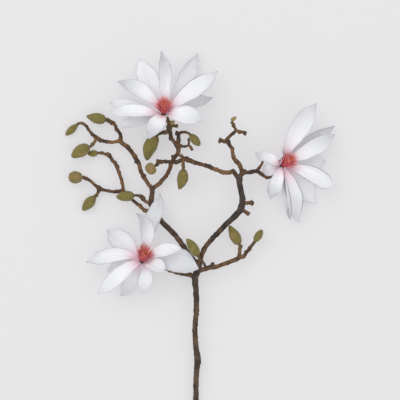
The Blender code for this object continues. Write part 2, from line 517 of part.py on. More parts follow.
def tepal_shape(foot, outward, axis, tepal):
    """A thin closed blade along a curved spine, cupped towards the flower's axis."""
    tip = Vector(tepal.tip)
    length = (tip - foot).length
    rise = math.radians(tepal.rise)
    leave = outward * math.cos(rise) + axis * math.sin(rise)
    arrive = ((tip - foot) / length + axis * tepal.curl).normalized()
    right = (tip - foot).cross(axis).normalized()
    low = foot + leave * length * SPINE_REACH + right * tepal.bend[0]
    high = tip - arrive * length * SPINE_REACH + right * tepal.bend[1]
    spine = (foot, low, high, tip)
    rings = []
    for u in TEPAL_STATIONS:
        point, along = bezier(*spine, u)
        across = axis.cross(along).normalized()
        twist = math.radians(tepal.roll) * min(1.0, u / TEPAL_WIDEST)
        across = Quaternion(along, twist) @ across
        inner = along.cross(across)
        half = tepal_width(u, tepal.width) / 2
        cup = TEPAL_CUP * math.sin(math.pi * (CUP_START + (1.0 - CUP_START) * u))
        blade = TEPAL_THICKNESS * (1.0 - TEPAL_THINNING * u) / 2
        ring = []
        for v, skin in ((-1, 0), (-0.5, 1), (0, 1), (0.5, 1), (1, 0), (0.5, -1), (0, -1), (-0.5, -1)):
            lift = cup * half * v * v + skin * blade
            ring.append(point + across * (half * v) + inner * lift)
        rings.append(ring)
    return skin_rings(rings)


def pistil_shape(base, axis):
    """A blunt cone that stands on the receptacle."""
    side, up = upright_frame(axis)
    rings = []
    for u, girth in PISTIL_PROFILE:
        centre = base + axis * (PISTIL_HEIGHT * u)
        rings.append(circle(centre, side, up, PISTIL_RADIUS * girth, PISTIL_SIDES))
    return skin_rings(rings)


def stamens_shape(base, axis):
    """A fluted funnel round the pistil: the stamens taken together, open at both ends."""
    side, up = upright_frame(axis)
    sides = 2 * STAMEN_FLUTES
    inner = PISTIL_RADIUS + FIT_GAP
    waist = inner + STAMEN_FOOT
    waist_height = STAMEN_HEIGHT * STAMEN_WAIST
    # (height, radius, depth of the flutes), down the inside and up the outside
    profile = [
        (STAMEN_HEIGHT, STAMEN_FLARE, 0.0),
        (waist_height, waist, 0.0),
        (0.0, inner, 0.0),
        (0.0, inner + STAMEN_FOOT, 0.0),
        (waist_height, waist + STAMEN_WALL, STAMEN_FLUTE_DEPTH),
        (STAMEN_HEIGHT, STAMEN_FLARE + STAMEN_RIM, STAMEN_FLUTE_DEPTH),
    ]
    shape = bmesh.new()
    loops = []
    for height, radius, ripple in profile:
        ring = circle(base + axis * height, side, up, radius, sides, ripple)
        loops.append([shape.verts.new(point) for point in ring])
    for k in range(len(loops)):
        lower, upper = loops[k], loops[(k + 1) % len(loops)]
        for i in range(sides):
            j = (i + 1) % sides
            shape.faces.new((lower[i], lower[j], upper[j], upper[i]))
    return shape


def foot_bearings(tepals, centre, side, up):
    """The bearing of each foot, between an even spread and straight below its tip."""
    step = math.tau / len(tepals)
    tips = []
    for tepal in tepals:
        reach = Vector(tepal.tip) - centre
        tips.append(math.atan2(reach.dot(up), reach.dot(side)))
    leads = [tip - i * step for i, tip in enumerate(tips)]
    start = math.atan2(sum(map(math.sin, leads)), sum(map(math.cos, leads)))
    bearings = []
    for i, tip in enumerate(tips):
        even = start + i * step
        bearings.append(even + FOOT_SPREAD * math.remainder(tip - even, math.tau))
    return bearings


def make_flower(name, flower, materials):
    centre = Vector(flower["centre"])
    axis = Vector(flower["faces"]).normalized()
    side, up = upright_frame(axis)
    tepals = flower["tepals"]
    whorls = (OUTER_WHORL_HEIGHT, INNER_WHORL_HEIGHT)
    for i, bearing in enumerate(foot_bearings(tepals, centre, side, up)):
        outward = side * math.cos(bearing) + up * math.sin(bearing)
        height = whorls[(i + flower["first_whorl"]) % 2]
        foot = centre + axis * height + outward * WHORL_RADIUS
        shape = tepal_shape(foot, outward, axis, tepals[i])
        make_object(f"{name}_tepal_{i + 1:02d}", shape, materials["tepal"])
    seat = centre + axis * (RECEPTACLE_HEIGHT + FIT_GAP)
    make_object(f"{name}_pistil", pistil_shape(seat, axis), materials["pistil"])
    make_object(f"{name}_stamens", stamens_shape(seat, axis), materials["stamens"])


def centre_on_box():
    """Move every piece so that the box of the whole stands centred on the world's origin."""
    bpy.context.view_layer.update()
    depsgraph = bpy.context.evaluated_depsgraph_get()
    pieces = [piece for piece in bpy.data.objects if not piece.hide_render]
    corners = []
    for piece in pieces:
        mesh = piece.evaluated_get(depsgraph).to_mesh()
        corners += [vertex.co.copy() for vertex in mesh.vertices]
    low = [min(corner[k] for corner in corners) for k in range(3)]
    high = [max(corner[k] for corner in corners) for k in range(3)]
    shift = Vector((-(low[0] + high[0]) / 2, -(low[1] + high[1]) / 2, -low[2]))
    for piece in bpy.data.objects:
        piece.location = shift


def main():
    for leftover in list(bpy.data.objects):
        bpy.data.objects.remove(leftover)
    materials = {name: make_material(name) for name in MATERIALS}
    make_wood(materials["bark"])
    make_buds(materials["bud_down"])
    for name, flower in FLOWERS.items():
        make_flower(name, flower, materials)
    centre_on_box()


main()
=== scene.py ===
"""The looks of the magnolia branch: bark, furry buds, tepals, stamens and pistils.

Every CAD node is replaced by a finer piece. The wood is remeshed from its node, buds and tepals
follow the rings of points of theirs, and carpels and stamens spread from the cone of the pistil.
Lengths of the branch are written in millimetres and multiplied by MM: the scene is in metres.
"""

import math
from typing import NamedTuple

import bmesh
import bpy
import numpy as np
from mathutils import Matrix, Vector, noise
from mathutils.bvhtree import BVHTree


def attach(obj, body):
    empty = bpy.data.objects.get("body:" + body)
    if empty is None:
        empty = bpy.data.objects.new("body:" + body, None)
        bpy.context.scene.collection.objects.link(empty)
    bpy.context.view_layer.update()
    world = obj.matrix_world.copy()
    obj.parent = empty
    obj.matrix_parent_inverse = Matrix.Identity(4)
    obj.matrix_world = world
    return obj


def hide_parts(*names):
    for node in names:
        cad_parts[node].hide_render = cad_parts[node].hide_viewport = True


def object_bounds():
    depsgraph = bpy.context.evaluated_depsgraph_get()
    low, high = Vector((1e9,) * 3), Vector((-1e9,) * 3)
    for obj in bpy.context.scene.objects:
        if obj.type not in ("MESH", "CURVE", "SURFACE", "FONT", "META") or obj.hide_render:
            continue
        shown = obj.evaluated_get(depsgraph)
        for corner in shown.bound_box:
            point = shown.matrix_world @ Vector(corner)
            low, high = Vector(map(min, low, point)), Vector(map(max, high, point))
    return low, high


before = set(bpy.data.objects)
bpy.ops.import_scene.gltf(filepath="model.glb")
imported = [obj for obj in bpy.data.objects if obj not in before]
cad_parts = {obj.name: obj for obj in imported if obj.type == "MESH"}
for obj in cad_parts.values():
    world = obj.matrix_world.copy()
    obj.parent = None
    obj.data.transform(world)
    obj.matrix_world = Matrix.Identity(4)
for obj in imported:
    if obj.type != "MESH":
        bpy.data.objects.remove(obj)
cad_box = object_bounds()

MM = 0.001
RNG = np.random.default_rng(26)
GOLDEN_ANGLE = math.pi * (3 - math.sqrt(5))

# ---------------------------------------------------------------- sizes
WELD = 0.001 * MM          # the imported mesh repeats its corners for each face
RING_POINTS = 8            # points round each ring of a CAD blade, bud or cone
FLAT = 0.002               # radians between faces that count as one flat face
TINY = 1e-9                # keeps a direction from having no length
UPRIGHT = 0.9              # a direction whose upward part is larger counts as upright

VIEW_WIDTH = 400 * MM      # what the camera takes in, across and along
HIDDEN_STEM = 48.2 * MM    # length of stem below the camera's view
CAMERA_HEIGHT = 4.0
CAMERA_REACH = 20.0
SENSOR = 36.0              # mm, as Blender states it
FLOOR_HALF = 3.0           # half the floor's width
FLOOR_DROP = 0.3 * MM
FLOOR_GLOW = 0.55          # share of the floor's brightness that is its own light
SOFTBOX_SIZE = 1.8
KEY_PLACE = (-0.8, 0.9, 1.9)
KEY_POWER = 13
FILL_PLACE = (1.1, -0.7, 1.9)
FILL_POWER = 4
SKY_COLOUR = (0.97, 0.98, 1.0, 1.0)
SKY_STRENGTH = 0.9

BARK_VOXEL = 0.5 * MM
BARK_SMOOTHING = 3         # passes of smoothing
BARK_SMOOTHING_FACTOR = 0.5
BARK_REGAIN = 0.29 * MM    # remeshing and smoothing thin the twigs by about this much
BARK_LUMP = 1.6 * MM       # height of the swellings along the twigs
BARK_LUMP_SIZE = 3.6 * MM
BARK_LUMP_START = 0.08     # noise under this leaves the wood plain
BARK_SCAR = 0.95 * MM      # height of the knobs that old leaves left behind
BARK_SCAR_SPACING = 6 * MM
BARK_SCAR_REACH = 0.34     # radius of a knob, as a share of the knobs' spacing
BARK_WRINKLE = 0.3 * MM
BARK_WRINKLE_SIZE = 1.1 * MM
BARK_GRAIN_SIZE = 0.5 * MM
TWIG_THICKNESS = 3.4 * MM  # wood up to this thick has the colour of young twigs
LIMB_THICKNESS = 5.2 * MM  # and from this on that of old bark
KNOB_END = LIMB_THICKNESS + 1 * MM
KNOB_FADE = 3 * MM         # over this much thickness, up to KNOB_END, the knobs grow fainter
KNOB_LEAST = 0.4           # share of their height that they keep on the limbs
THICKEST = 9 * MM          # thicker wood counts as this thick
RAY_START = 0.2 * MM       # how far under the bark its thickness is measured from
YOUNG_REACH = 9 * MM       # how far from a bud's foot the wood is still greenish
OLD_MIDDLE = np.array([28, 34]) * MM   # the right limb is the oldest and darkest wood
OLD_REACH = np.array([34, 46]) * MM
OLD_FADE = (0.75, 1.25)    # in reaches from the middle: fully dark, and not at all

TEPAL_ROWS = 44
TEPAL_COLUMNS = 19         # an odd number, so that one runs along the middle
TEPAL_THICKNESS = 0.42 * MM
TEPAL_RUFFLE = 1.7 * MM    # how far the edges of a tepal wave
TEPAL_SWELL = 1.6 * MM     # long shallow waves of the whole blade
TEPAL_PLEAT = 0.12 * MM    # height of the ridges along the veins
TEPAL_GROOVE = 0.5 * MM    # depth of the channel along the middle
TEPAL_POINT = 0.55         # share of its width that a blade loses, more than in CAD, by its tip
POINT_START = 0.8          # where along the blade that begins
POINT_CURVE = 1.3          # over 1, so that it sets in gently
TEPAL_SPACING = 0.92       # under 1, so that rows lie further apart near the foot
TEPAL_SEAT = 0.6 * MM      # how far a tepal runs on into the flower's base
VEINS = 9                  # veins across a tepal
GROOVE_WIDTH = 0.16        # as a share of the half width
GROOVE_FADE = 0.5          # share of its depth that the channel loses by the tip
TIP_THINNING = 0.5         # shares of its thickness that a tepal loses by its tip
EDGE_THINNING = 0.75       # and by its edges
FREE_WIDTH = 9 * MM        # a narrower blade waves less
FREE_RISE = 1.6            # how quickly a blade starts to wave, away from its foot
RUFFLE_CURVE = 1.8         # over 1, so that ruffles gather at the edges
RUFFLE_WAVES = (4.2, 7.0)  # how quickly the waves change along a tepal, and from side to side
SWELL_WAVES = (2.6, 0.9)
NICK_WAVES = (9, 3)
NICK = 0.06                # share of its width by which an edge wanders in and out
SWELL_SEED = 20            # set the swells and nicks apart from the ruffles
NICK_SEED = 50
CURL_START = 0.7           # where along the blade its tip starts to curl
FOLD_START = 0.3           # where across half a blade a margin starts to fold
FOLD_SPAN = 0.5            # and over what share of it the fold is reached
FOLD_FIRST = 0.08          # a fold is faint at the foot, full in the middle and fades by the tip:
FOLD_LENGTH = 0.85         # these two are the start and length of that arch, in half turns
FOLD_CURVE = 0.8
TEPAL_SEEDS = 90           # tepals are cut from this long a stretch of noise
LOWEST = 0.25 * MM         # tepals stay this far above the bottom of the CAD box

BUD_ROWS = 30
BUD_SIDES = 28
BUD_FUR_LENGTH = 1.0 * MM
BUD_FUR_WIDTH = 0.09 * MM
BUD_FUR_PER_MM2 = 3.0
FUR_ONWARD = 0.8           # how far a hair leans towards the tip, outwards and sideways
FUR_OUTWARD = 0.55
FUR_SIDEWAYS = 0.9
FUR_LEAST = 0.6            # the shortest hair, as a share of BUD_FUR_LENGTH
FUR_SPREAD = 0.6           # and how much longer the longest is
BUD_SEEDS = 50             # buds are cut from this long a stretch of noise
BUD_SEAT = 0.7 * MM        # how far a bud runs on into its stalk
BUD_LUMP = 0.07            # these four are shares of the bud's radius
BUD_GRAIN = 0.03
BUD_SEAM = 0.1
BUD_COLLAR = 0.28
LUMPS_ROUND = 1.2          # how quickly the lumps change round a bud
LUMPS_ALONG = 3.5          # and along it
GRAIN_FINER = 3            # how many times smaller the grain is than the lumps
BUD_SEAM_WIDTH = 0.16      # radians
BUD_SEAM_TURN = 0.5        # radians that the seam winds on its way to the tip
COLLAR_PLACE = 0.035       # where along the bud the collar is, and how wide
COLLAR_WIDTH = 0.03
LEAST_RADIUS = 0.1 * MM

STRAP_RISE = 0.62          # least upward part of the direction in which a strand ends
HEART_LEAN = 1.0           # how far the pistil and stamens bend the way the flower faces
HEART_SIDE = (1.0, 0.3, 0.2)   # any direction that no flower faces
# Each pair is of the lowest strand of a flower and of its highest.
STAMENS = 120
STAMEN_HEIGHTS = (-1.8 * MM, 2.4 * MM)
STAMEN_RADIUS = 2.2 * MM   # distance from the flower's axis at which they start
STAMEN_FIRST_LEANS = (0.5, 0.25)   # radians away from the axis, at their foot
STAMEN_LAST_LEANS = (0.68, 0.1)    # and at their tip
STAMEN_LENGTHS = (15.5 * MM, 10.85 * MM)
STAMEN_WIDTH = 0.9 * MM
STAMEN_THICKNESS = 0.4 * MM
CARPELS = 34
CARPEL_HEIGHTS = (0.1, 0.7)        # as shares of the pistil's height
CARPEL_RADII = (2.0 * MM, 0.4 * MM)
CARPEL_FIRST_LEAN = 0.5
CARPEL_LAST_LEANS = (1.4, 0.5)
CARPEL_LENGTHS = (4.2 * MM, 3.15 * MM)
CARPEL_WIDTH = 0.9 * MM
CARPEL_THICKNESS = 0.63 * MM
FIRST_JITTER = 0.1         # radians that strands stray at the foot
LAST_JITTER = 0.2          # and at the tip
LENGTH_JITTER = 0.1        # share of its length by which a strand is longer or shorter
STRAP_STATIONS = 7         # cross-sections along a strand
STRAP_FIRST = 0.2          # a strand is widest in the middle: the start of that arch, in half turns
STRAP_SPAN = 0.72          # and its length
STRAP_CURVE = 0.6          # under 1, so that it keeps its width for longer
CORE_ROWS = 10
CORE_SIDES = 16
CORE_SHARE = 0.7           # width of the cone under the carpels beside that of the CAD pistil
CORE_COLOUR = 0.3          # the cone is coloured like this lower share of a carpel


class Look(NamedTuple):
    """How a tepal departs from the plain blade of its CAD node, seen with its tip upwards."""

    left: float = 0.1      # radians that its left margin folds up, towards the flower's middle
    right: float = 0.1     # and its right margin
    tip: float = 0.0       # millimetres that its tip curls up
    painted_shade: float = 0.15     # how much painted shade greys its end
    edge: float = 0.3      # how dark the painted shade line along its edges is
    breadth: float = 1.12  # its width, as a share of its CAD node's


LOOKS = {
    "top_flower": [
        Look(tip=-0.5, painted_shade=0.6, breadth=1.0),
        Look(right=1.0, painted_shade=0.6, edge=0.6),
        Look(left=0.4, right=0.4, painted_shade=0.5, edge=0.7, breadth=1.05),
        Look(left=0.3, painted_shade=0.8),
        Look(right=2.2, tip=-1, painted_shade=0.8, breadth=1.3),
        Look(painted_shade=0.0, breadth=1.25),
        Look(left=0.5, painted_shade=0.9, breadth=1.2),
        Look(right=0.3, breadth=1.05),
        Look(left=0.2, right=0.2, painted_shade=0.4, breadth=1.2),
        Look(left=0.5, painted_shade=0.3, breadth=1.05),
        Look(left=0.4, right=0.4, tip=-5, painted_shade=1.0),
    ],
    "left_flower": [
        Look(right=0.3, painted_shade=0.5, breadth=0.95),
        Look(right=0.4, tip=-2, painted_shade=0.4, breadth=1.2),
        Look(right=1.0, painted_shade=0.5, breadth=1.35),
        Look(left=0.2, right=0.4, breadth=1.25),
        Look(right=1.5, tip=1, painted_shade=0.8, breadth=1.25),
        Look(left=1.3, tip=-5, painted_shade=1.0, breadth=1.15),
        Look(right=0.5, painted_shade=0.5),
        Look(right=0.9, tip=1, painted_shade=0.6, breadth=1.2),
        Look(left=0.3, breadth=1.2),
        Look(left=0.8, painted_shade=0.4, breadth=1.25),
        Look(left=0.6, painted_shade=0.5, breadth=0.95),
    ],
    "right_flower": [
        Look(breadth=0.95),
        Look(left=0.5, tip=3, painted_shade=0.8, breadth=1.3),
        Look(left=0.8, tip=5, painted_shade=0.9, edge=0.9, breadth=1.05),
        Look(left=0.8, painted_shade=0.6, breadth=1.0),
        Look(left=0.3, painted_shade=0.2, breadth=1.05),
        Look(left=0.5, tip=3, painted_shade=0.8, breadth=1.0),
        Look(left=0.4, right=0.4, tip=2, painted_shade=0.9, breadth=0.95),
        Look(left=0.6, painted_shade=1.0, breadth=0.95),
        Look(right=1.8, tip=2, painted_shade=0.5, edge=0.9, breadth=1.2),
        Look(right=1.6, tip=3, painted_shade=0.5, edge=0.8, breadth=1.3),
        Look(left=0.3, breadth=1.25),
        Look(left=1.3, tip=-2, painted_shade=0.3, edge=0.8, breadth=1.3),
    ],
}
# How brown the down of a bud is, from 0, olive green, to 1: these, and the usual.
BUD_BROWN = {"bud_01": 0.35, "bud_03": 0.35, "bud_04": 0.75, "bud_08": 0.8, "bud_09": 0.25}
BUD_BROWN_USUAL = 0.3


# ---------------------------------------------------------------- colours and nodes
def srgb(red, green, blue):
    """A colour as Blender's linear RGBA, from the usual 0 to 255 values."""
    linear = []
    for value in (red, green, blue):
        share = value / 255
        linear.append(share / 12.92 if share <= 0.04045 else ((share + 0.055) / 1.055) ** 2.4)
    return (*linear, 1.0)


class Paint:
    """A node material under construction, around one Principled shader."""

    def __init__(self, name, roughness, **constants):
        self.material = bpy.data.materials.new(name)
        self.material.use_nodes = True
        self.tree = self.material.node_tree
        self.shader = self.tree.nodes["Principled BSDF"]
        self.shader.inputs["Roughness"].default_value = roughness
        for socket, value in constants.items():
            self.shader.inputs[socket.replace("_", " ")].default_value = value
        self.coords = self.tree.nodes.new("ShaderNodeTexCoord")

    def node(self, kind, **inputs):
        made = self.tree.nodes.new(kind)
        for socket, value in inputs.items():
            self.feed(made.inputs[socket.replace("_", " ")], value)
        return made

    def feed(self, socket, value):
        """Sets a socket, or links it when the value is another node's output."""
        if isinstance(value, bpy.types.NodeSocket):
            self.tree.links.new(value, socket)
        else:
            socket.default_value = value

    def noise(self, size, detail=4.0):
        """Noise from 0 to 1 whose features are about that many metres across."""
        made = self.node("ShaderNodeTexNoise", Scale=1 / size, Detail=detail)
        self.tree.links.new(self.coords.outputs["Object"], made.inputs["Vector"])
        return made.outputs["Fac"]

    def spots(self, size):
        """Distance to the nearest of scattered points, 0 at a point."""
        made = self.node("ShaderNodeTexVoronoi", Scale=1 / size)
        self.tree.links.new(self.coords.outputs["Object"], made.inputs["Vector"])
        return made.outputs["Distance"]

    def attribute(self, name):
        made = self.tree.nodes.new("ShaderNodeAttribute")
        made.attribute_name = name
        return made.outputs["Fac"]

    def fade(self, value, low, high):
        """0 where value is at or under low, 1 at or over high, smooth in between."""
        made = self.node("ShaderNodeMapRange", Value=value)
        made.interpolation_type = "SMOOTHSTEP"
        made.inputs["From Min"].default_value = low
        made.inputs["From Max"].default_value = high
        return made.outputs["Result"]

    def maths(self, operation, first, second=0.0):
        made = self.tree.nodes.new("ShaderNodeMath")
        made.operation = operation
        self.feed(made.inputs[0], first)
        self.feed(made.inputs[1], second)
        return made.outputs[0]

    def times(self, first, second):
        return self.maths("MULTIPLY", first, second)

    def plus(self, first, second):
        return self.maths("ADD", first, second)

    def rest(self, share):
        """What is left of 1."""
        return self.maths("SUBTRACT", 1.0, share)

    def blend(self, share, first, second):
        """The first colour where share is 0, the second where it is 1."""
        made = self.tree.nodes.new("ShaderNodeMix")
        made.data_type = "RGBA"
        self.feed(made.inputs["Factor"], share)
        self.feed(made.inputs[6], first)
        self.feed(made.inputs[7], second)
        return made.outputs[2]

    def along(self):
        """How far along a piece a point lies, from 0 at its foot to 1, and how far across."""
        split = self.tree.nodes.new("ShaderNodeSeparateXYZ")
        self.tree.links.new(self.coords.outputs["UV"], split.inputs["Vector"])
        return split.outputs["X"], split.outputs["Y"]

    def finish(self, colour, height=None, depth=0.0):
        self.feed(self.shader.inputs["Base Color"], colour)
        if height is not None:
            bump = self.node("ShaderNodeBump", Height=height, Distance=depth)
            self.tree.links.new(bump.outputs["Normal"], self.shader.inputs["Normal"])
        return self.material


def bark_material():
    """Dark bark on the limbs, orange-brown on the twigs, darker down the sides and below by painted
    shade, with pale lenticels.
    """
    paint = Paint("bark_living", roughness=0.82)
    thickness = paint.fade(paint.attribute("thickness"), TWIG_THICKNESS / MM, LIMB_THICKNESS / MM)
    patches = paint.fade(paint.noise(9 * MM, detail=6), 0.38, 0.62)
    flecks = paint.fade(paint.noise(1.6 * MM, detail=6), 0.45, 0.7)
    twig = paint.blend(patches, srgb(68, 48, 32), srgb(126, 89, 52))
    twig = paint.blend(paint.times(paint.attribute("young"), 0.8), twig, srgb(96, 84, 40))
    limb = paint.blend(patches, srgb(54, 43, 34), srgb(92, 73, 56))
    dark = paint.blend(patches, srgb(34, 29, 26), srgb(68, 56, 48))
    limb = paint.blend(paint.attribute("weathered"), limb, dark)
    colour = paint.blend(thickness, twig, limb)
    colour = paint.blend(paint.times(flecks, 0.65), colour, srgb(36, 28, 22))
    lenticels = paint.rest(paint.fade(paint.spots(2.3 * MM), 0.1, 0.2))
    colour = paint.blend(paint.times(lenticels, 0.5), colour, srgb(168, 138, 104))
    # Painted shade: dark brown over the faces that turn sideways or down.
    side = paint.fade(paint.attribute("side"), 0.25, 0.95)
    colour = paint.blend(paint.times(side, 0.75), colour, srgb(44, 34, 26))
    relief = paint.plus(paint.noise(0.7 * MM, detail=5), lenticels)
    return paint.finish(colour, relief, 0.25 * MM)


def bud_material(name, brown):
    """Olive down with a tan blush, darker and browner at the foot, with painted shade down the
    sides and a painted highlight in pale flecks.
    """
    paint = Paint(name, roughness=0.9, Sheen_Weight=0.2, Sheen_Roughness=0.5)
    along = paint.along()[0]
    olive = paint.blend(paint.noise(3 * MM, detail=5), srgb(76, 70, 28), srgb(140, 128, 56))
    # The browner the bud, the more of it the blush covers.
    cover = 0.35 * brown
    blush = paint.fade(paint.noise(6 * MM, detail=3), 0.62 - cover, 0.86 - cover)
    colour = paint.blend(paint.times(blush, 0.85), olive, srgb(146, 116, 78))
    # Painted shade: dark brown over the faces that turn sideways or down, wandering with noise.
    side = paint.plus(paint.attribute("side"), paint.noise(1.5 * MM))
    side = paint.fade(side, 0.75, 1.45)
    colour = paint.blend(paint.times(side, 0.8), colour, srgb(92, 66, 38))
    foot = paint.rest(paint.fade(along, 0.03, 0.2))
    colour = paint.blend(paint.times(foot, 0.8), colour, srgb(92, 62, 38))
    # Pale flecks through the down: a painted highlight on the hairs; the same noise makes the bump.
    fur = paint.noise(0.35 * MM, detail=3)
    colour = paint.blend(paint.times(fur, 0.25), colour, srgb(160, 150, 92))
    return paint.finish(colour, fur, 0.25 * MM)


def tepal_material():
    """Satin white, flushed pink at the foot and along the lower veins, with painted shade on the
    outside, the ends and the edges.
    """
    paint = Paint("tepal_living", roughness=0.5, Subsurface_Weight=0.15, Subsurface_Scale=1.5 * MM)
    paint.shader.inputs["Subsurface Radius"].default_value = (1.0, 0.85, 0.8)
    along, across = paint.along()
    stripes = paint.maths("SINE", paint.times(across, VEINS * math.tau))
    veins = paint.fade(stripes, 0.2, 1.0)
    colour = paint.blend(paint.noise(14 * MM, detail=3), srgb(242, 242, 244), srgb(232, 233, 236))
    # Painted shade: grey towards the end of a tepal, by its own amount and patchy with noise, and
    # over its outer skin; the faint grey of the veins is their own colour.
    shade = paint.times(paint.fade(along, 0.35, 1.0), paint.attribute("painted_shade"))
    shade = paint.times(shade, paint.plus(0.5, paint.noise(6 * MM)))
    shade = paint.plus(shade, paint.times(paint.attribute("outside"), 0.4))
    shade = paint.plus(shade, paint.times(veins, 0.08))
    colour = paint.blend(shade, colour, srgb(192, 193, 197))
    # Painted shade: a dark grey line along the edges of a tepal.
    off_middle = paint.maths("ABSOLUTE", paint.maths("SUBTRACT", across, 0.5))
    edge = paint.times(paint.fade(off_middle, 0.43, 0.5), paint.attribute("edge"))
    colour = paint.blend(edge, colour, srgb(118, 118, 124))
    reach = paint.plus(along, paint.times(paint.noise(5 * MM), 0.16))
    flush = paint.rest(paint.fade(reach, 0.12, 0.46))
    colour = paint.blend(paint.times(flush, 0.6), colour, srgb(238, 196, 212))
    streaks = paint.rest(paint.fade(reach, 0.12, 0.62))
    streaks = paint.times(streaks, veins)
    colour = paint.blend(paint.times(streaks, 0.3), colour, srgb(222, 150, 178))
    relief = paint.plus(paint.times(veins, 0.6), paint.noise(0.8 * MM))
    return paint.finish(colour, relief, 0.08 * MM)


def stamen_material():
    """Red-pink, paler towards the tip."""
    paint = Paint("stamens_living", roughness=0.5, Subsurface_Weight=0.1, Subsurface_Scale=1 * MM)
    along = paint.along()[0]
    colour = paint.blend(paint.noise(2.5 * MM), srgb(200, 58, 78), srgb(230, 106, 120))
    colour = paint.blend(paint.fade(along, 0.5, 1.0), colour, srgb(242, 154, 146))
    return paint.finish(colour, paint.noise(0.3 * MM), 0.05 * MM)


def carpel_material():
    """Orange-pink, paler towards the tips."""
    paint = Paint("pistil_living", roughness=0.45, Subsurface_Weight=0.1, Subsurface_Scale=1 * MM)
    along = paint.along()[0]
    colour = paint.blend(paint.noise(2 * MM), srgb(216, 88, 76), srgb(236, 132, 96))
    colour = paint.blend(paint.fade(along, 0.55, 1.0), colour, srgb(250, 184, 140))
    return paint.finish(colour, paint.noise(0.3 * MM), 0.05 * MM)


def leaf_bud_material():
    """Brownish green scales."""
    paint = Paint("leaf_bud_living", roughness=0.6)
    colour = paint.blend(paint.noise(1.2 * MM), srgb(112, 96, 48), srgb(176, 150, 96))
    return paint.finish(colour, paint.noise(0.4 * MM), 0.15 * MM)


# ---------------------------------------------------------------- mesh tools
def add_piece(name, node, points, faces, material, uvs):
    """A smooth piece made from points and faces, that stands for a CAD node."""
    mesh = bpy.data.meshes.new(name)
    mesh.from_pydata([tuple(point) for point in points], [], faces)
    mesh.materials.append(material)
    layer = mesh.uv_layers.new(name="UVMap")
    loop_points = np.zeros(len(mesh.loops), dtype=np.int32)
    mesh.loops.foreach_get("vertex_index", loop_points)
    layer.data.foreach_set("uv", np.asarray(uvs, dtype=np.float32)[loop_points].ravel())
    mesh.shade_smooth()
    piece = bpy.data.objects.new(name, mesh)
    bpy.context.scene.collection.objects.link(piece)
    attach(piece, "root")
    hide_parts(node)
    return piece


def within_box(points, lowest=0.0):
    """The points, kept inside the CAD box and no lower than lowest."""
    low, high = (np.array(corner) for corner in cad_box)
    return np.clip(points, low + [0, 0, lowest], high)


def between(ends, share):
    """The value at that share of the way from the first end to the last."""
    first, last = ends
    return first + (last - first) * share


def unit(vectors):
    return vectors / np.linalg.norm(vectors, axis=-1, keepdims=True)


def rings_of(node, near=None):
    """The rings of points of a CAD node, from its foot to its tip, as an (n, 8, 3) array.

    The foot is the flat end next to the given point, or else the wider of the two.
    """
    shape = bmesh.new()
    shape.from_mesh(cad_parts[node].data)
    bmesh.ops.remove_doubles(shape, verts=shape.verts, dist=WELD)
    bmesh.ops.dissolve_limit(shape, angle_limit=FLAT, verts=[], edges=shape.edges)
    ends = [face for face in shape.faces if len(face.verts) == RING_POINTS]
    if near is None:
        foot = max(ends, key=lambda face: face.calc_area())
    else:
        foot = min(ends, key=lambda face: (face.calc_center_median() - Vector(near)).length)
    ring = set(foot.verts)
    seen = set()
    rings = []
    while ring:
        seen |= ring
        points = [tuple(vert.co) for vert in ring]
        # The two points of a very narrow tip may have been packed as one.
        points += points[:1] * (RING_POINTS - len(points))
        rings.append(points)
        ring = {edge.other_vert(vert) for vert in ring for edge in vert.link_edges} - seen
    shape.free()
    return np.array(rings)


def spline(knots, values, places):
    """Smooth values at the given places, through the values at the knots."""
    slopes = np.gradient(values, knots, axis=0)
    index = np.clip(np.searchsorted(knots, places, side="right") - 1, 0, len(knots) - 2)
    span = (knots[index + 1] - knots[index])[:, None]
    t = (places - knots[index])[:, None] / span
    return (
        values[index] * (2 * t**3 - 3 * t**2 + 1)
        + slopes[index] * span * (t**3 - 2 * t**2 + t)
        + values[index + 1] * (3 * t**2 - 2 * t**3)
        + slopes[index + 1] * span * (t**3 - t**2)
    )


def run_length(points):
    """How far along a row of points each lies, from 0 to 1."""
    steps = np.linalg.norm(np.diff(points, axis=0), axis=1)
    reached = np.concatenate([[0.0], np.cumsum(steps)])
    return reached / reached[-1]


def grid_faces(rows, columns, closed=False):
    """Quads over a grid of points; closed joins the last column to the first."""
    faces = []
    for row in range(rows - 1):
        for column in range(columns if closed else columns - 1):
            right = (column + 1) % columns
            start, following = row * columns, (row + 1) * columns
            faces.append((start + column, start + right, following + right, following + column))
    return faces


def carried_frames(centres):
    """Unit vectors along a line of centres and two square to it, without twist."""
    along = unit(np.gradient(centres, axis=0))
    helper = np.array([0.0, 0.0, 1.0]) if abs(along[0][2]) < UPRIGHT else np.array([1.0, 0.0, 0.0])
    side = unit(np.cross(along[0], helper))
    sides = []
    for direction in along:
        side = unit(side - direction * (side @ direction))
        sides.append(side)
    sides = np.array(sides)
    return along, sides, np.cross(along, sides)


def turned_grid(rings, rows, sides, relief):
    """A fine turned surface through CAD rings; relief(u, angle) scales its radius."""
    centres = rings.mean(axis=1)
    radii = np.linalg.norm(rings - centres[:, None], axis=2).mean(axis=1)
    knots = run_length(centres)
    places = np.linspace(0, 1, rows)
    fine_centres = spline(knots, centres, places)
    fine_radii = spline(knots, radii[:, None], places)[:, 0]
    _, side, up = carried_frames(fine_centres)
    angles = np.arange(sides) * math.tau / sides
    points = []
    uvs = []
    for row, u in enumerate(places):
        for angle in angles:
            radius = max(fine_radii[row], LEAST_RADIUS) * relief(u, angle)
            out = side[row] * math.cos(angle) + up[row] * math.sin(angle)
            points.append(fine_centres[row] + out * radius)
            uvs.append((u, angle / math.tau))
    return np.array(points), uvs


def cap_faces(rows, sides):
    """The two end faces of a closed grid."""
    first = tuple(range(sides))[::-1]
    last = tuple(range((rows - 1) * sides, rows * sides))
    return [first, last]


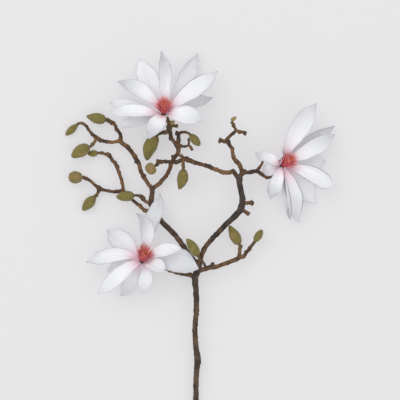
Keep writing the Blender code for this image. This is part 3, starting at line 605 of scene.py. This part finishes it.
# ---------------------------------------------------------------- bark
def remeshed_wood():
    """The wood as one even, smooth mesh."""
    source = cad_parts["branch_wood"]
    even = bpy.data.objects.new("even_wood", source.data.copy())
    bpy.context.scene.collection.objects.link(even)
    weld = even.modifiers.new("weld", "WELD")
    weld.merge_threshold = WELD
    remesh = even.modifiers.new("remesh", "REMESH")
    remesh.mode = "VOXEL"
    remesh.voxel_size = BARK_VOXEL
    smooth = even.modifiers.new("smooth", "SMOOTH")
    smooth.factor = BARK_SMOOTHING_FACTOR
    smooth.iterations = BARK_SMOOTHING
    depsgraph = bpy.context.evaluated_depsgraph_get()
    mesh = bpy.data.meshes.new_from_object(even.evaluated_get(depsgraph))
    bpy.data.objects.remove(even)
    return mesh


def wood_thickness(mesh):
    """How thick the wood is under each vertex, measured straight through it."""
    tree = BVHTree.FromPolygons(
        [vertex.co for vertex in mesh.vertices], [tuple(face.vertices) for face in mesh.polygons]
    )
    thickness = np.empty(len(mesh.vertices))
    for vertex in mesh.vertices:
        start = vertex.co - vertex.normal * RAY_START
        hit, _, _, distance = tree.ray_cast(start, -vertex.normal)
        thickness[vertex.index] = min(distance + RAY_START, THICKEST) if hit else LIMB_THICKNESS
    return thickness


def add_attribute(mesh, name, values):
    layer = mesh.attributes.new(name, "FLOAT", "POINT")
    layer.data.foreach_set("value", np.asarray(values, dtype=np.float32))


def make_bark(bud_feet):
    """The wood with knobs, wrinkles, its colouring by thickness and age, and painted shade on its
    sides and underneath.
    """
    mesh = remeshed_wood()
    thickness = wood_thickness(mesh)
    points = np.array([vertex.co for vertex in mesh.vertices])
    normals = np.array([vertex.normal for vertex in mesh.vertices])
    knobbly = np.clip((KNOB_END - thickness) / KNOB_FADE, KNOB_LEAST, 1.0)
    lift = BARK_REGAIN * knobbly
    for i, point in enumerate(points):
        place = Vector(point)
        lump = max(0.0, noise.noise(place / BARK_LUMP_SIZE) - BARK_LUMP_START)
        away = noise.voronoi(place / BARK_SCAR_SPACING)[0][0]
        scar = max(0.0, 1.0 - (away / BARK_SCAR_REACH) ** 2)
        grain = noise.noise(place / BARK_GRAIN_SIZE)
        wrinkle = noise.noise(place / BARK_WRINKLE_SIZE) + 0.5 * grain
        lift[i] += (BARK_LUMP * lump + BARK_SCAR * scar) * knobbly[i] + BARK_WRINKLE * wrinkle
    points = within_box(points + normals * lift[:, None])
    mesh.vertices.foreach_set("co", points.astype(np.float32).ravel())
    add_attribute(mesh, "thickness", thickness / MM)
    # How far each point faces sideways or down, for the painted shade in the bark's colour.
    add_attribute(mesh, "side", 1 - np.clip(normals[:, 2], 0, 1))
    away = np.linalg.norm((points[:, :2] - OLD_MIDDLE) / OLD_REACH, axis=1)
    full, none = OLD_FADE
    add_attribute(mesh, "weathered", np.clip((none - away) / (none - full), 0, 1))
    young = np.zeros(len(points))
    for foot in bud_feet:
        young = np.maximum(young, 1 - np.linalg.norm(points - foot, axis=1) / YOUNG_REACH)
    add_attribute(mesh, "young", np.clip(young, 0, 1))
    mesh.materials.clear()
    mesh.materials.append(bark_material())
    mesh.shade_smooth()
    piece = bpy.data.objects.new("branch_bark", mesh)
    bpy.context.scene.collection.objects.link(piece)
    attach(piece, "root")
    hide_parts("branch_wood")


# ---------------------------------------------------------------- buds
def bud_relief(seed, turn):
    """Shallow lumps, a seam down one side and a collar by the foot."""

    def relief(u, angle):
        round_x, round_y = math.cos(angle) * LUMPS_ROUND, math.sin(angle) * LUMPS_ROUND
        place = Vector((round_x, round_y, u * LUMPS_ALONG + seed))
        lumps = 1 + BUD_LUMP * noise.noise(place) + BUD_GRAIN * noise.noise(place * GRAIN_FINER)
        away = math.remainder(angle - turn - BUD_SEAM_TURN * u, math.tau)
        seam = 1 - BUD_SEAM * math.exp(-((away / BUD_SEAM_WIDTH) ** 2)) * math.sin(math.pi * u)
        collar = 1 + BUD_COLLAR * math.exp(-(((u - COLLAR_PLACE) / COLLAR_WIDTH) ** 2))
        return lumps * seam * collar

    return relief


def fur(points, rows, sides):
    """Short hairs that lean towards the tip: three points each, and a uv pair for every point."""
    grid = points.reshape(rows, sides, 3)
    centres = grid.mean(axis=1)
    span = np.linalg.norm(grid[-1].mean(axis=0) - grid[0].mean(axis=0))
    girth = np.linalg.norm(grid - centres[:, None], axis=2).mean() * math.tau
    count = int(span * girth / MM**2 * BUD_FUR_PER_MM2)
    hairs = []
    uvs = []
    for row_place, side_place, lean, size in RNG.random((count, 4)):
        # None grow on the first row or the last.
        row = 1 + row_place * (rows - 3)
        low, column = int(row), int(side_place * sides)
        share = row - low
        root = grid[low, column] * (1 - share) + grid[low + 1, column] * share
        out = unit(root - centres[low])
        onward = unit(grid[low + 1, column] - grid[low, column])
        across = unit(np.cross(out, onward))
        point = unit(onward * FUR_ONWARD + out * FUR_OUTWARD + across * (lean - 0.5) * FUR_SIDEWAYS)
        length = BUD_FUR_LENGTH * (FUR_LEAST + FUR_SPREAD * size)
        half = across * BUD_FUR_WIDTH / 2
        hairs += [root - half, root + half, root + point * length]
        uvs += [(row / rows, side_place)] * 3
    return hairs, uvs


def make_bud(node, material, furry):
    """One bud, seated on its stalk; returns where its foot is."""
    rings = rings_of(node)
    seat = rings[0] - unit(rings[1].mean(axis=0) - rings[0].mean(axis=0)) * BUD_SEAT
    rings = np.concatenate([seat[None], rings])
    seed = RNG.random() * BUD_SEEDS
    turn = RNG.random() * math.tau
    points, uvs = turned_grid(rings, BUD_ROWS, BUD_SIDES, bud_relief(seed, turn))
    faces = grid_faces(BUD_ROWS, BUD_SIDES, closed=True) + cap_faces(BUD_ROWS, BUD_SIDES)
    if furry:
        hairs, hair_uvs = fur(points, BUD_ROWS, BUD_SIDES)
        first = len(points)
        faces += [(first + i, first + i + 1, first + i + 2) for i in range(0, len(hairs), 3)]
        points = np.concatenate([points, hairs])
        uvs = uvs + hair_uvs
    points = within_box(points)
    name = f"{node}_down" if furry else f"{node}_scales"
    piece = add_piece(name, node, points, faces, material, uvs)
    foot, tip = rings[0].mean(axis=0), rings[-1].mean(axis=0)
    onward = unit(tip - foot)
    # How far each point faces sideways or down, for the painted shade in the bud's colour.
    out = unit((points - foot) - ((points - foot) @ onward)[:, None] * onward + TINY)
    add_attribute(piece.data, "side", 1 - np.clip(out[:, 2], 0, 1))
    return foot


def make_buds():
    """All the buds; returns where their feet are."""
    feet = []
    scales = leaf_bud_material()
    for node in sorted(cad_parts):
        if node.startswith("bud_"):
            brown = BUD_BROWN.get(node, BUD_BROWN_USUAL)
            feet.append(make_bud(node, bud_material(f"{node}_down", brown), furry=True))
        if node.startswith("leaf_bud_"):
            feet.append(make_bud(node, scales, furry=False))
    return feet


# ---------------------------------------------------------------- tepals
def blade_lines(rings, axis):
    """The left edge, middle and right edge of a blade, each as one point to a ring.

    Left and right are as seen along the flower's axis from its front, with the tip upwards.
    """
    lines = []
    for ring in rings:
        gaps = np.linalg.norm(ring[:, None] - ring[None], axis=2)
        left, right = (ring[i] for i in np.unravel_index(np.argmax(gaps), gaps.shape))
        if lines and np.linalg.norm(left - lines[-1][0]) > np.linalg.norm(right - lines[-1][0]):
            left, right = right, left
        off_centre = np.abs((ring - (left + right) / 2) @ unit(right - left))
        middle = ring[np.argsort(off_centre)[:2]].mean(axis=0)
        lines.append((left, middle, right))
    lines = np.array(lines)
    rightwards = np.cross(lines[-1, 1] - lines[0, 1], axis)
    if ((lines[:, 2] - lines[:, 0]) @ rightwards).sum() < 0:
        lines = lines[:, ::-1]
    return lines


def margin_fold(half_width, columns, angle):
    """How far folding one margin up by an angle moves each column: outwards, and upwards."""
    v = np.linspace(0, 1, columns)
    bent = np.clip((v - FOLD_START) / FOLD_SPAN, 0, 1)
    slope = angle * bent * bent * (3 - 2 * bent)
    step = half_width / (columns - 1)
    outwards = np.concatenate([[0], np.cumsum(np.cos(slope[1:]) - 1)]) * step
    upwards = np.concatenate([[0], np.cumsum(np.sin(slope[1:]))]) * step
    return outwards, upwards


def wander(waves, along, across, seed):
    """Smooth noise over a blade, from -1 to 1."""
    return noise.noise(Vector((along * waves[0], across * waves[1], seed)))


def blade_surface(lines, look):
    """The middle surface of a tepal as a (rows, columns, 3) grid, and its (u, v) places."""
    knots = run_length(lines[:, 1])
    us = np.linspace(0, 1, TEPAL_ROWS) ** TEPAL_SPACING
    vs = np.linspace(-1, 1, TEPAL_COLUMNS)
    left, middle, right = (spline(knots, lines[:, k], us) for k in range(3))
    width = np.linalg.norm(right - left, axis=1)
    along = unit(np.gradient(middle, axis=0))
    across = unit(right - left)
    normal = unit(np.cross(across, along))
    seed = RNG.random() * TEPAL_SEEDS
    side_columns = TEPAL_COLUMNS // 2 + 1
    grid = np.empty((TEPAL_ROWS, TEPAL_COLUMNS, 3))
    for row, u in enumerate(us):
        point = max(0.0, (u - POINT_START) / (1 - POINT_START))
        breadth = look.breadth * (1 - TEPAL_POINT * point**POINT_CURVE)
        chord = (right[row] - left[row]) / 2 * breadth
        sag = (left[row] + right[row]) / 2 - middle[row]
        free = math.sin(math.pi / 2 * min(1.0, u * FREE_RISE)) * min(1.0, width[row] / FREE_WIDTH)
        fold = math.sin(math.pi * min(1.0, FOLD_FIRST + FOLD_LENGTH * u)) ** FOLD_CURVE
        half = width[row] / 2 * breadth
        left_out, left_up = margin_fold(half, side_columns, look.left * fold)
        right_out, right_up = margin_fold(half, side_columns, look.right * fold)
        out = np.concatenate([-left_out[:0:-1], right_out])
        up = np.concatenate([left_up[:0:-1], right_up])
        for column, v in enumerate(vs):
            side = 1.0 if v > 0 else -1.0
            wave = wander(RUFFLE_WAVES, u, side, seed)
            swell = wander(SWELL_WAVES, u, v, seed + SWELL_SEED)
            nick = NICK * wander(NICK_WAVES, u, side, seed + NICK_SEED)
            lift = TEPAL_RUFFLE * wave * abs(v) ** RUFFLE_CURVE * free
            lift += TEPAL_SWELL * swell * free
            lift += TEPAL_PLEAT * math.cos(v * math.pi * VEINS) * free
            groove = TEPAL_GROOVE * math.exp(-((v / GROOVE_WIDTH) ** 2))
            lift -= groove * free * (1 - GROOVE_FADE * u)
            lift += look.tip * MM * max(0.0, (u - CURL_START) / (1 - CURL_START)) ** 2
            grid[row, column] = (
                middle[row] + chord * v * (1 + nick) + sag * v * v
                + across[row] * out[column] + normal[row] * (up[column] + lift)
            )
    places = [(u, v / 2 + 0.5) for u in us for v in vs]
    return grid, places


def two_skins(grid):
    """A closed thin blade round a middle surface: points, faces, and which are outside."""
    rows, columns = grid.shape[:2]
    normals = unit(np.cross(np.gradient(grid, axis=1), np.gradient(grid, axis=0)))
    u = np.linspace(0, 1, rows)[:, None]
    v = np.linspace(-1, 1, columns)[None]
    thickness = TEPAL_THICKNESS * (1 - TIP_THINNING * u) * (1 - EDGE_THINNING * v**4)
    offset = normals * (thickness / 2)[:, :, None]
    points = np.concatenate([(grid + offset).reshape(-1, 3), (grid - offset).reshape(-1, 3)])
    inner = grid_faces(rows, columns)
    count = rows * columns
    outer = [tuple(count + i for i in face[::-1]) for face in inner]
    border = list(range(columns))
    border += [row * columns + columns - 1 for row in range(1, rows)]
    border += [(rows - 1) * columns + column for column in range(columns - 2, -1, -1)]
    border += [row * columns for row in range(rows - 2, 0, -1)]
    rim = [
        (here, following, following + count, here + count)
        for here, following in zip(border, border[1:] + border[:1])
    ]
    return points, inner + outer + rim, np.repeat([0.0, 1.0], count)


def make_tepal(node, heart, axis, look, material):
    """A thin, waved, veined blade through the rings of its CAD node."""
    lines = blade_lines(rings_of(node, near=heart), axis)
    inwards = lines[0] - unit(lines[1] - lines[0]) * TEPAL_SEAT
    grid, places = blade_surface(np.concatenate([inwards[None], lines]), look)
    points, faces, outside = two_skins(grid)
    points = within_box(points, LOWEST)
    piece = add_piece(f"{node}_blade", node, points, faces, material, places * 2)
    add_attribute(piece.data, "outside", outside)
    # How much painted shade greys this tepal's end.
    add_attribute(piece.data, "painted_shade", np.full(len(points), look.painted_shade))
    # How dark the painted shade line along this tepal's edges is.
    add_attribute(piece.data, "edge", np.full(len(points), look.edge))


# ---------------------------------------------------------------- stamens and pistils
def strap(start, first, last, length, width, thickness, crosswise):
    """A flat tapered strap that bends from its first direction to its last."""
    points = []
    uvs = []
    place = np.array(start)
    for i in range(STRAP_STATIONS):
        u = i / (STRAP_STATIONS - 1)
        direction = unit(first * (1 - u) + last * u)
        face = unit(np.cross(crosswise, direction))
        full = math.sin(math.pi * (STRAP_FIRST + STRAP_SPAN * u)) ** STRAP_CURVE
        half_width = crosswise * width * full / 2
        half_depth = face * thickness * full / 2
        points += [place - half_width, place - half_depth, place + half_width, place + half_depth]
        uvs += [(u, v) for v in (0.0, 0.5, 1.0, 0.5)]
        place = place + direction * length / (STRAP_STATIONS - 1)
    faces = grid_faces(STRAP_STATIONS, 4, closed=True) + cap_faces(STRAP_STATIONS, 4)
    return points, faces, uvs


def joined(parts):
    """Several (points, faces, uvs) as one."""
    points, faces, uvs = [], [], []
    for part_points, part_faces, part_uvs in parts:
        first = len(points)
        points += list(part_points)
        faces += [tuple(first + i for i in face) for face in part_faces]
        uvs += list(part_uvs)
    return np.array(points), faces, uvs


def spread_straps(count, base, axis, side, up, place, shape):
    """Straps in a spiral round the axis.

    place(share) is a strap's height, its distance from the axis and its lean at foot and tip.
    shape(share) is its length, width and thickness.
    """
    parts = []
    for i in range(count):
        share = (i + 0.5) / count
        angle = i * GOLDEN_ANGLE
        out = side * math.cos(angle) + up * math.sin(angle)
        height, radius, first_lean, last_lean = place(share)
        length, width, thickness = shape(share)
        first_lean += RNG.normal(0, FIRST_JITTER)
        last_lean += RNG.normal(0, LAST_JITTER)
        first = axis * math.cos(first_lean) + out * math.sin(first_lean)
        last = axis * math.cos(last_lean) + out * math.sin(last_lean)
        # Kept upright enough to clear all but the steepest tepals.
        last = unit(np.array([last[0], last[1], max(last[2], STRAP_RISE)]))
        start = base + axis * height + out * radius
        length *= 1 + RNG.normal(0, LENGTH_JITTER)
        parts.append(strap(start, first, last, length, width, thickness, np.cross(axis, out)))
    return parts


def make_heart(flower, stamen_paint, carpel_paint):
    """The pistil and stamens of a flower; returns its base and axis."""
    rings = rings_of(f"{flower}_pistil")
    base, top = rings[0].mean(axis=0), rings[-1].mean(axis=0)
    axis = unit(top - base)
    tall = np.linalg.norm(top - base)
    # The whole heart bends further the way that the flower faces.
    bent = unit(axis + axis * [HEART_LEAN, HEART_LEAN, 0])
    side = unit(np.cross(bent, HEART_SIDE))
    up = np.cross(bent, side)

    core, core_uvs = turned_grid(rings, CORE_ROWS, CORE_SIDES, lambda u, angle: CORE_SHARE)
    core_faces = grid_faces(CORE_ROWS, CORE_SIDES, closed=True) + cap_faces(CORE_ROWS, CORE_SIDES)
    core_part = (core, core_faces, [(CORE_COLOUR * u, v) for u, v in core_uvs])
    carpels = spread_straps(
        CARPELS, base, bent, side, up,
        place=lambda share: (
            tall * between(CARPEL_HEIGHTS, share), between(CARPEL_RADII, share),
            CARPEL_FIRST_LEAN, between(CARPEL_LAST_LEANS, share),
        ),
        shape=lambda share: (between(CARPEL_LENGTHS, share), CARPEL_WIDTH, CARPEL_THICKNESS),
    )
    points, faces, uvs = joined([core_part, *carpels])
    add_piece(f"{flower}_carpels", f"{flower}_pistil", points, faces, carpel_paint, uvs)

    stamens = spread_straps(
        STAMENS, base, bent, side, up,
        place=lambda share: (
            between(STAMEN_HEIGHTS, share), STAMEN_RADIUS,
            between(STAMEN_FIRST_LEANS, share), between(STAMEN_LAST_LEANS, share),
        ),
        shape=lambda share: (between(STAMEN_LENGTHS, share), STAMEN_WIDTH, STAMEN_THICKNESS),
    )
    points, faces, uvs = joined(stamens)
    add_piece(f"{flower}_anthers", f"{flower}_stamens", points, faces, stamen_paint, uvs)
    return base, axis


def make_flowers():
    tepal_paint = tepal_material()
    stamen_paint = stamen_material()
    carpel_paint = carpel_material()
    for flower, looks in LOOKS.items():
        base, axis = make_heart(flower, stamen_paint, carpel_paint)
        for number, look in enumerate(looks, start=1):
            make_tepal(f"{flower}_tepal_{number:02d}", base, axis, look, tepal_paint)


# ---------------------------------------------------------------- studio
def make_floor():
    """Pale paper that glows a little, as under a bright sweep, so that shadows stay faint."""
    mesh = bpy.data.meshes.new("floor")
    half = FLOOR_HALF
    corners = [(-half, -half, 0), (half, -half, 0), (half, half, 0), (-half, half, 0)]
    mesh.from_pydata(corners, [], [(0, 1, 2, 3)])
    paint = Paint("floor_paper", roughness=0.9, Emission_Strength=FLOOR_GLOW)
    paint.shader.inputs["Emission Color"].default_value = srgb(234, 232, 233)
    tone = paint.blend(paint.noise(0.5, detail=2), srgb(150, 149, 150), srgb(153, 152, 153))
    mesh.materials.append(paint.finish(tone))
    floor = bpy.data.objects.new("floor", mesh)
    floor.location.z = -FLOOR_DROP
    bpy.context.scene.collection.objects.link(floor)


def add_softbox(name, place, target, power):
    light = bpy.data.lights.new(name, "AREA")
    light.shape = "SQUARE"
    light.size = SOFTBOX_SIZE
    light.energy = power
    holder = bpy.data.objects.new(name, light)
    holder.location = place
    holder.rotation_euler = (Vector(target) - Vector(place)).to_track_quat("-Z", "Y").to_euler()
    bpy.context.scene.collection.objects.link(holder)


def make_studio():
    """A pale floor, soft light from the upper left, and the camera straight above."""
    make_floor()
    scene = bpy.context.scene
    low, high = cad_box
    target = ((low.x + high.x) / 2, low.y + HIDDEN_STEM + VIEW_WIDTH / 2, 0.0)
    add_softbox("key", KEY_PLACE, target, KEY_POWER)
    add_softbox("fill", FILL_PLACE, target, FILL_POWER)
    world = bpy.data.worlds.new("studio")
    world.use_nodes = True
    sky = world.node_tree.nodes["Background"]
    sky.inputs["Color"].default_value = SKY_COLOUR
    sky.inputs["Strength"].default_value = SKY_STRENGTH
    scene.world = world
    scene.view_settings.view_transform = "Standard"

    camera = bpy.data.cameras.new("camera")
    camera.sensor_width = SENSOR
    camera.lens = SENSOR * CAMERA_HEIGHT / VIEW_WIDTH
    camera.clip_end = CAMERA_REACH
    holder = bpy.data.objects.new("camera", camera)
    holder.location = (target[0], target[1], CAMERA_HEIGHT)
    scene.collection.objects.link(holder)
    scene.camera = holder


make_studio()
bark_feet = make_buds()
make_bark(bark_feet)
make_flowers()
